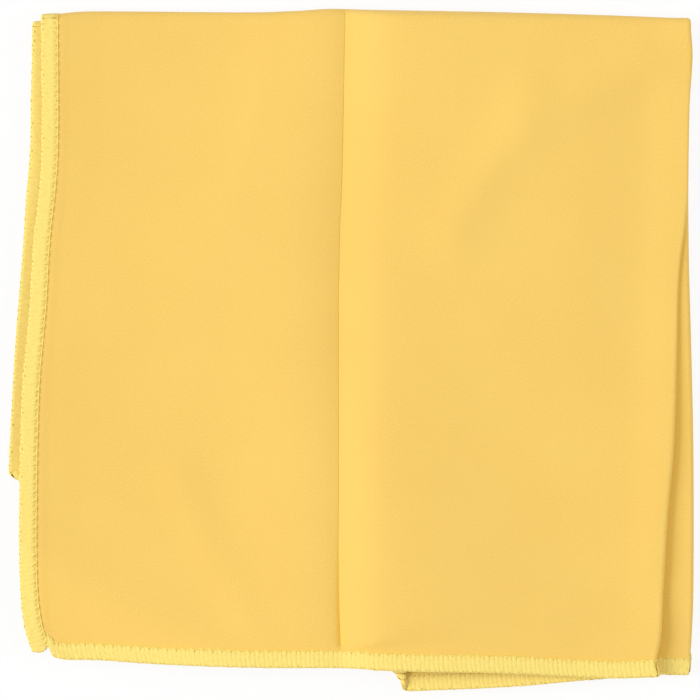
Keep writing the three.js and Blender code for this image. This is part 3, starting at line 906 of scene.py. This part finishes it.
def sweep(
    path: np.ndarray, outward: np.ndarray, half_width: np.ndarray, half_height: float, sides: int
) -> tuple[np.ndarray, list[list[int]], np.ndarray]:
    """Carries an oval section along a path and closes both ends.

    A ring's points are the path's point plus cosine times half the width sideways and sine times half
    the height outwards, with sideways square to the path and to the outward direction.

    Args:
        path: points along the thread.
        outward: direction away from the fabric at each point.
        half_width: half the section's width at each point, in metres.
        half_height: half its height, in metres.
        sides: points on a ring.

    Returns:
        Vertices, faces, and a length and a turn for each vertex.
    """
    run = np.gradient(path, axis=0)
    run /= np.linalg.norm(run, axis=1, keepdims=True) + 1e-12
    sideways = np.cross(run, outward)
    sideways /= np.linalg.norm(sideways, axis=1, keepdims=True) + 1e-12
    upward = np.cross(sideways, run)
    turn = np.arange(sides) / sides * 2.0 * math.pi
    ring = half_width[:, None, None] * np.cos(turn)[:, None] * sideways[:, None]
    ring = ring + half_height * np.sin(turn)[:, None] * upward[:, None]
    count = len(path)
    vertices = np.concatenate(((path[:, None] + ring).reshape(-1, 3), path[:1], path[-1:]))
    ring_start = np.arange(count - 1)[:, None] * sides
    here = np.arange(sides)[None]
    after = (here + 1) % sides
    next_ring = ring_start + sides
    quads = np.stack((ring_start + here, ring_start + after, next_ring + after, next_ring + here), axis=-1)
    faces = quads.reshape(-1, 4)[:, ::-1].tolist()
    first, last = count * sides, count * sides + 1
    end = (count - 1) * sides
    faces += [[first, i, (i + 1) % sides] for i in range(sides)]
    faces += [[last, end + (i + 1) % sides, end + i] for i in range(sides)]
    uv = np.stack((np.repeat(run_lengths(path), sides), np.tile(np.arange(sides) / sides, count)), axis=-1)
    return vertices, faces, np.concatenate((uv, uv[:1], uv[-1:]))


def make_piece(
    name: str, vertices: np.ndarray, faces: list[list[int]], uv: np.ndarray, material: bpy.types.Material
) -> bpy.types.Object:
    """Puts a computed surface into a smooth-shaded mesh object at the origin.

    Args:
        name: the piece's name.
        vertices: points in metres.
        faces: corner indices of each face.
        uv: two surface coordinates for each vertex.
        material: the piece's material.

    Returns:
        The new object.
    """
    mesh = bpy.data.meshes.new(name)
    mesh.from_pydata(vertices.tolist(), [], faces)
    mesh.polygons.foreach_set("use_smooth", np.ones(len(mesh.polygons), dtype=bool))
    corners = np.empty(len(mesh.loops), dtype=np.int32)
    mesh.loops.foreach_get("vertex_index", corners)
    mesh.uv_layers.new(name="surface").data.foreach_set("uv", uv[corners].astype(np.float32).ravel())
    mesh.materials.append(material)
    mesh.update()
    piece = bpy.data.objects.new(name, mesh)
    bpy.context.scene.collection.objects.link(piece)
    log.info("%s: %d vertices, %d faces", name, len(mesh.vertices), len(mesh.polygons))
    return piece


class NodeGraph:
    """A material's nodes, with short calls to add and join them."""

    def __init__(self, name: str) -> None:
        """Starts an empty material.

        Args:
            name: the material's name.
        """
        self.material = bpy.data.materials.new(name)
        self.material.use_nodes = True
        self.nodes = self.material.node_tree.nodes
        self.links = self.material.node_tree.links
        self.nodes.clear()

    def add(self, kind: str, inputs: dict | None = None, **settings: object) -> bpy.types.Node:
        """Adds a node, sets its properties, and joins or sets its inputs.

        Args:
            kind: the node's type name.
            inputs: input name or number to a value, or to the socket that feeds it.
            **settings: properties of the node.

        Returns:
            The new node.
        """
        node = self.nodes.new(kind)
        for key, value in settings.items():
            setattr(node, key, value)
        for key, value in (inputs or {}).items():
            if isinstance(value, bpy.types.NodeSocket):
                self.links.new(value, node.inputs[key])
            else:
                node.inputs[key].default_value = value
        return node

    def noise(self, vector: bpy.types.NodeSocket, scale: float, detail: float) -> bpy.types.NodeSocket:
        """Adds a noise texture on the given coordinates, and gives its value's socket."""
        node = self.add("ShaderNodeTexNoise", {"Vector": vector, "Scale": scale, "Detail": detail})
        return node.outputs["Fac"]

    def mix(self, factor: object, first: object, second: object, blend: str) -> bpy.types.NodeSocket:
        """Adds a mix of two colours, values or sockets, by the named blend, and gives its colour's socket."""
        node = self.add("ShaderNodeMix", {0: factor, 6: first, 7: second}, data_type="RGBA", blend_type=blend)
        return node.outputs[2]

    def ramp(self, factor: bpy.types.NodeSocket, stops: list[tuple[float, tuple]]) -> bpy.types.NodeSocket:
        """Adds a colour ramp.

        Args:
            factor: the socket that feeds it.
            stops: place and colour of each stop, in order.

        Returns:
            The ramp's colour socket.
        """
        node = self.add("ShaderNodeValToRGB", {0: factor})
        elements = node.color_ramp.elements
        while len(elements) < len(stops):
            elements.new(0.5)
        for element, (place, colour) in zip(elements, stops):
            element.position = place
            element.color = (*colour, 1.0)
        return node.outputs["Color"]


@dataclass(frozen=True)
class FabricFinish:
    """Knitted microfibre: matt yellow with a short soft pile."""

    colour: tuple[float, float, float] = (0.953, 0.627, 0.149)
    deep_colour: tuple[float, float, float] = (0.936, 0.607, 0.141)
    bound_colour: tuple[float, float, float] = (0.96, 0.75, 0.195)
    bound_from: float = 3.7 * MM
    bound_to: float = 4.5 * MM
    # Painted shade: a warm tint multiplied into the colour in hollows, by ambient occlusion within this reach
    painted_shade_tint: tuple[float, float, float] = (1.045, 1.07, 0.28)
    painted_shade_reach: float = 6.0 * MM
    cloud_scale: float = 28.0
    fibre_scale: float = 1900.0
    nap_scale: float = 420.0
    fibre_shade: tuple[float, float, float] = (0.86, 0.86, 0.84)
    bump_height: float = 0.12 * MM
    roughness: float = 0.92
    sheen: float = 0.25
    sheen_tint: tuple[float, float, float] = (1.0, 0.93, 0.7)

    def build(self) -> bpy.types.Material:
        """Cloudy colour, a fibre speckle, and a fine napped bump, all on the cloth's own coordinates.

        The colour turns to that of the thread inside the seams, where loose filaments cover the fabric,
        and in hollows a painted warm shade is multiplied in by ambient occlusion, standing in for the light
        that passes from layer to layer of the cloth.

        Returns:
            The material.
        """
        graph = NodeGraph("microfibre_fabric")
        surface = graph.add("ShaderNodeUVMap", uv_map="surface").outputs["UV"]
        clouds = graph.noise(surface, self.cloud_scale, 2.0)
        fibres = graph.noise(surface, self.fibre_scale, 3.0)
        nap = graph.noise(surface, self.nap_scale, 4.0)
        cloudy = graph.ramp(clouds, [(0.3, self.deep_colour), (0.62, self.colour)])
        speckle = graph.ramp(fibres, [(0.25, self.fibre_shade), (0.65, (1.0, 1.0, 1.0))])
        from_edge = graph.add("ShaderNodeAttribute", attribute_name=EDGE_DISTANCE, attribute_type="GEOMETRY")
        is_open = graph.add("ShaderNodeMapRange", {
            "Value": from_edge.outputs["Fac"], "From Min": self.bound_from, "From Max": self.bound_to,
        })
        colour = graph.mix(is_open.outputs[0], (*self.bound_colour, 1.0), cloudy, "MIX")
        colour = graph.mix(0.5, colour, speckle, "MULTIPLY")
        # Painted shade: where ambient occlusion finds hollows, the colour is multiplied by a warm tint,
        # standing in for light passed between the layers
        painted_shade_occlusion = graph.add("ShaderNodeAmbientOcclusion", {"Distance": self.painted_shade_reach})
        painted_shade_amount = graph.add("ShaderNodeMath", {0: 1.0, 1: painted_shade_occlusion.outputs["AO"]}, operation="SUBTRACT")
        colour = graph.mix(painted_shade_amount.outputs[0], colour, (*self.painted_shade_tint, 1.0), "MULTIPLY")
        relief = graph.add("ShaderNodeMath", {0: fibres, 1: nap}, operation="ADD")
        bump = graph.add("ShaderNodeBump", {
            "Height": relief.outputs[0], "Strength": 0.35, "Distance": self.bump_height,
        })
        shader = graph.add("ShaderNodeBsdfPrincipled", {
            "Base Color": colour, "Roughness": self.roughness, "Normal": bump.outputs["Normal"],
            "Sheen Weight": self.sheen, "Sheen Roughness": 0.5, "Sheen Tint": (*self.sheen_tint, 1.0),
            "Specular IOR Level": 0.2,
        })
        graph.add("ShaderNodeOutputMaterial", {"Surface": shader.outputs["BSDF"]})
        return graph.material


@dataclass(frozen=True)
class ThreadFinish:
    """Textured polyester thread: lemon yellow, made of many fine filaments."""

    colour: tuple[float, float, float] = (0.973, 0.76, 0.20)
    deep_colour: tuple[float, float, float] = (0.91, 0.67, 0.155)
    filament_scale: tuple[float, float, float] = (900.0, 9.0, 1.0)
    bump_height: float = 0.1 * MM
    roughness: float = 0.7
    sheen_tint: tuple[float, float, float] = (1.0, 0.95, 0.75)

    def build(self) -> bpy.types.Material:
        """Filaments that run along the thread, as streaks in the colour and the bump.

        Returns:
            The material.
        """
        graph = NodeGraph("overlock_thread")
        surface = graph.add("ShaderNodeUVMap", uv_map="surface").outputs["UV"]
        stretched = graph.add("ShaderNodeMapping", {"Vector": surface, "Scale": self.filament_scale})
        filaments = graph.noise(stretched.outputs[0], 1.0, 3.0)
        colour = graph.ramp(filaments, [(0.3, self.deep_colour), (0.55, self.colour)])
        bump = graph.add("ShaderNodeBump", {
            "Height": filaments, "Strength": 0.5, "Distance": self.bump_height,
        })
        shader = graph.add("ShaderNodeBsdfPrincipled", {
            "Base Color": colour, "Roughness": self.roughness, "Normal": bump.outputs["Normal"],
            "Sheen Weight": 0.2, "Sheen Roughness": 0.4, "Sheen Tint": (*self.sheen_tint, 1.0),
            "Specular IOR Level": 0.35,
        })
        graph.add("ShaderNodeOutputMaterial", {"Surface": shader.outputs["BSDF"]})
        return graph.material


@dataclass(frozen=True)
class Lamp:
    """A square area lamp that looks at the cloth, and its share of the plain level on flat ground."""

    name: str
    share: float
    elevation: float
    azimuth: float
    distance: float = 3.0
    side: float = 1.6

    def build(self) -> None:
        """Makes the lamp, with the power that gives its share on flat ground.

        A small area lamp of power P at distance d lights a level surface by P times the sine of its
        elevation over pi squared d squared, where 1 is the level at which white renders white.
        """
        elevation, azimuth = math.radians(self.elevation), math.radians(self.azimuth)
        level = math.cos(elevation)
        direction = Vector((level * math.cos(azimuth), level * math.sin(azimuth), math.sin(elevation)))
        lamp = bpy.data.lights.new(self.name, "AREA")
        lamp.size = self.side
        lamp.energy = self.share * math.pi**2 * self.distance**2 / math.sin(elevation)
        light = bpy.data.objects.new(self.name, lamp)
        light.location = direction * self.distance
        light.rotation_euler = direction.to_track_quat("Z", "Y").to_euler()
        light.visible_camera = False
        bpy.context.scene.collection.objects.link(light)


@dataclass
class Studio:
    """Plain white ground, soft light from the left, and the camera straight above."""

    middle: tuple[float, float] = (0.0, 0.0)
    ground_side: float = 6.0
    lens: float = 300.0
    sensor: float = 36.0
    view_width: float = 0.189
    view_height: float = 5.0 * MM
    ambient: float = 0.475
    lamps: tuple[Lamp, ...] = (
        Lamp("key", share=0.465, elevation=37.0, azimuth=182.0, side=2.0),
        Lamp("fill", share=0.18, elevation=45.0, azimuth=5.0, distance=0.9, side=0.5),
    )
    ground_shadow: float = 0.12
    ground_colour: tuple[float, float, float] = (0.95, 0.95, 0.95)
    white: tuple[float, float, float] = (1.0, 1.0, 1.0)

    def build(self) -> None:
        """Makes the ground, the world, the lamps and the camera."""
        bpy.context.scene.view_settings.view_transform = "Standard"
        self.make_ground()
        self.make_world()
        for lamp in self.lamps:
            lamp.build()
        self.make_camera()

    def make_ground(self) -> None:
        """A pale plane under the cloth, mostly plain white to the camera but still taking the shadow."""
        half = self.ground_side / 2
        corners = [(-half, -half, 0), (half, -half, 0), (half, half, 0), (-half, half, 0)]
        mesh = bpy.data.meshes.new("ground")
        mesh.from_pydata(corners, [], [(0, 1, 2, 3)])
        graph = NodeGraph("white_ground")
        plain = graph.add("ShaderNodeEmission", {"Color": (*self.white, 1.0), "Strength": 1.0})
        lit = graph.add("ShaderNodeBsdfDiffuse", {"Color": (*self.ground_colour, 1.0)})
        path = graph.add("ShaderNodeLightPath").outputs
        seen = graph.add(
            "ShaderNodeMath", {0: path["Is Camera Ray"], 1: path["Is Glossy Ray"]}, operation="MAXIMUM",
        )
        plain_share = {0: seen.outputs[0], 1: 1.0 - self.ground_shadow}
        share = graph.add("ShaderNodeMath", plain_share, operation="MULTIPLY")
        both = graph.add("ShaderNodeMixShader", {0: share.outputs[0], 1: lit.outputs[0], 2: plain.outputs[0]})
        graph.add("ShaderNodeOutputMaterial", {"Surface": both.outputs[0]})
        mesh.materials.append(graph.material)
        ground = bpy.data.objects.new("ground", mesh)
        bpy.context.scene.collection.objects.link(ground)

    def make_world(self) -> None:
        """White to the camera, and an even soft light to everything else."""
        world = bpy.data.worlds.new("studio")
        world.use_nodes = True
        nodes, links = world.node_tree.nodes, world.node_tree.links
        nodes.clear()
        both = nodes.new("ShaderNodeMixShader")
        links.new(nodes.new("ShaderNodeLightPath").outputs["Is Camera Ray"], both.inputs[0])
        for place, strength in ((1, self.ambient), (2, 1.0)):
            background = nodes.new("ShaderNodeBackground")
            background.inputs["Color"].default_value = (*self.white, 1.0)
            background.inputs["Strength"].default_value = strength
            links.new(background.outputs[0], both.inputs[place])
        links.new(both.outputs[0], nodes.new("ShaderNodeOutputWorld").inputs["Surface"])
        bpy.context.scene.world = world

    def make_camera(self) -> None:
        """A long lens straight above the photograph's middle, that takes in the photograph's width."""
        lens = bpy.data.cameras.new("camera")
        lens.lens = self.lens
        lens.sensor_width = self.sensor
        camera = bpy.data.objects.new("camera", lens)
        distance = self.view_width * self.lens / self.sensor
        lens.clip_end = 10.0
        camera.location = (self.middle[0], self.middle[1], self.view_height + distance)
        bpy.context.scene.collection.objects.link(camera)
        bpy.context.scene.camera = camera


def cloth_shift(cloth: FoldedCloth) -> np.ndarray:
    """How far the outlines' middle lies from the frame's origin, from the boxes of the CAD fabric.

    Args:
        cloth: the cloth, not yet moved.

    Returns:
        The move along x, y and z, in metres, with none along z.
    """
    across, along = np.meshgrid(cloth.across_lines(), cloth.along_lines(), indexing="ij")
    places = cloth.place(across, along, np.zeros_like(across)).reshape(-1, 3)
    boxes = np.array([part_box("cloth_upper_half"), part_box("cloth_lower_half")])
    cad_middle = (boxes[:, 0].min(axis=0) + boxes[:, 1].max(axis=0)) / 2
    own_middle = (places.min(axis=0) + places.max(axis=0)) / 2
    return np.array((cad_middle[0] - own_middle[0], cad_middle[1] - own_middle[1], 0.0))


def main() -> None:
    """Builds the sheet, its seams and the studio, in that order.
    """
    logging.basicConfig(level=logging.INFO)
    cloth = FoldedCloth()
    cloth.shift = cloth_shift(cloth)
    log.info("shift %s", cloth.shift)
    sheet = cloth.build_sheet(FabricFinish())
    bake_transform(sheet)
    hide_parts("cloth_upper_half", "cloth_lower_half")
    for seam in Seam:
        run = SeamThreads(cloth, seam)
        for thread in Thread:
            piece = run.build(thread, ThreadFinish())
            if seam in (Seam.FRONT_SIDE, Seam.BACK_SIDE):
                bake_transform(piece)
                nodes = [f"{half}_{seam.value}_seam_{thread.value}" for half in ("upper", "lower")]
            else:
                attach(piece, "upper_half" if seam is Seam.UPPER_END else "lower_half")
                nodes = [f"{seam.value}_seam_{thread.value}"]
            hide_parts(*nodes)
    Studio(middle=(float(cloth.shift[0]), float(cloth.shift[1]))).build()


if __name__ == "__main__":
    main()
